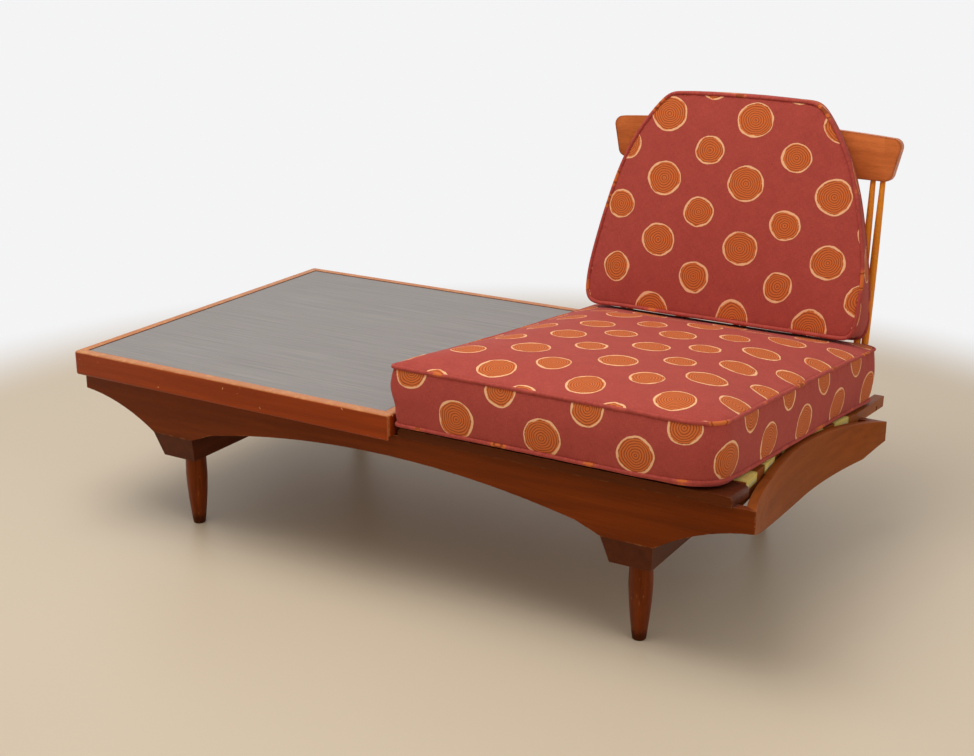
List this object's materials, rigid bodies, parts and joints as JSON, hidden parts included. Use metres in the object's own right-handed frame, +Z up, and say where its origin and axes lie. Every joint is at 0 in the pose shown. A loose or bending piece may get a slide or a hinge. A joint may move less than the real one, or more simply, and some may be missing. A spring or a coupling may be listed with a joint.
{
  "type": "modular bench",
  "caption": "Low wooden bench base that carries a lift-off side table with a dark inset top and a lift-off upholstered seat with a spindle back and loose cushions.",
  "frame": {"origin": "on the floor, under the middle of the whole box", "axes": "+Z up, +X along the bench from the table to the seat, front faces -Y"},
  "size_m": [1.444, 0.8792, 0.8377],
  "materials": {
    "base_wood": "satin red-brown hardwood",
    "leg_wood": "satin turned hardwood, darker at the worn feet",
    "band_wood": "satin orange-brown hardwood edge band",
    "pale_wood": "plain unfinished softwood",
    "board_wood": "satin dark brown hardwood",
    "crest_wood": "satin orange-brown hardwood",
    "turned_wood": "satin turned hardwood",
    "dark_sheet": "dark satin laminate sheet with fine streaks",
    "webbing": "cream woven webbing",
    "screw_steel": "plain steel",
    "cushion_fabric": "burgundy weave with rows of ringed orange dots"
  },
  "bodies": {
    "base": {"front_rail": "base_wood", "rear_rail": "base_wood", "left_end_rail": "base_wood", "right_end_rail": "base_wood", "left_leg_beam": "base_wood", "right_leg_beam": "base_wood", "front_left_leg": "leg_wood", "front_right_leg": "leg_wood", "rear_left_leg": "leg_wood", "rear_right_leg": "leg_wood", "leg_bolts": "screw_steel", "rail_dowels": "pale_wood", "corner_blocks": "pale_wood"},
    "table": {"table_front_band": "band_wood", "table_rear_band": "band_wood", "table_left_band": "band_wood", "table_right_band": "band_wood", "table_sheet": "dark_sheet", "table_core": "pale_wood", "table_left_runner": "pale_wood", "table_right_runner": "pale_wood", "runner_screws": "screw_steel"},
    "seat": {"seat_front_board": "board_wood", "seat_left_rail": "base_wood", "seat_right_rail": "base_wood", "spindle_rail": "base_wood", "webbing_strap_1": "webbing", "webbing_strap_2": "webbing", "webbing_strap_3": "webbing", "webbing_strap_4": "webbing", "webbing_strap_5": "webbing", "spindle_pair_1": "turned_wood", "spindle_pair_2": "turned_wood", "spindle_pair_3": "turned_wood", "spindle_pair_4": "turned_wood", "spindle_pair_5": "turned_wood", "crest_rail": "crest_wood", "seat_screws": "screw_steel"},
    "seat_cushion": {"seat_cushion": "cushion_fabric"},
    "back_cushion": {"back_cushion": "cushion_fabric"}
  },
  "joints": [
    {"name": "table_lift", "type": "slide", "parent": "base", "child": "table", "axis": [0, 0, 1], "range_m": [0, 0.3]},
    {"name": "seat_lift", "type": "slide", "parent": "base", "child": "seat", "axis": [0, 0, 1], "range_m": [0, 0.3]},
    {"name": "seat_cushion_lift", "type": "slide", "parent": "seat", "child": "seat_cushion", "axis": [0, 0, 1], "range_m": [0, 0.25]},
    {"name": "back_cushion_lift", "type": "slide", "parent": "seat_cushion", "child": "back_cushion", "axis": [0, 0, 1], "range_m": [0, 0.3]}
  ]
}
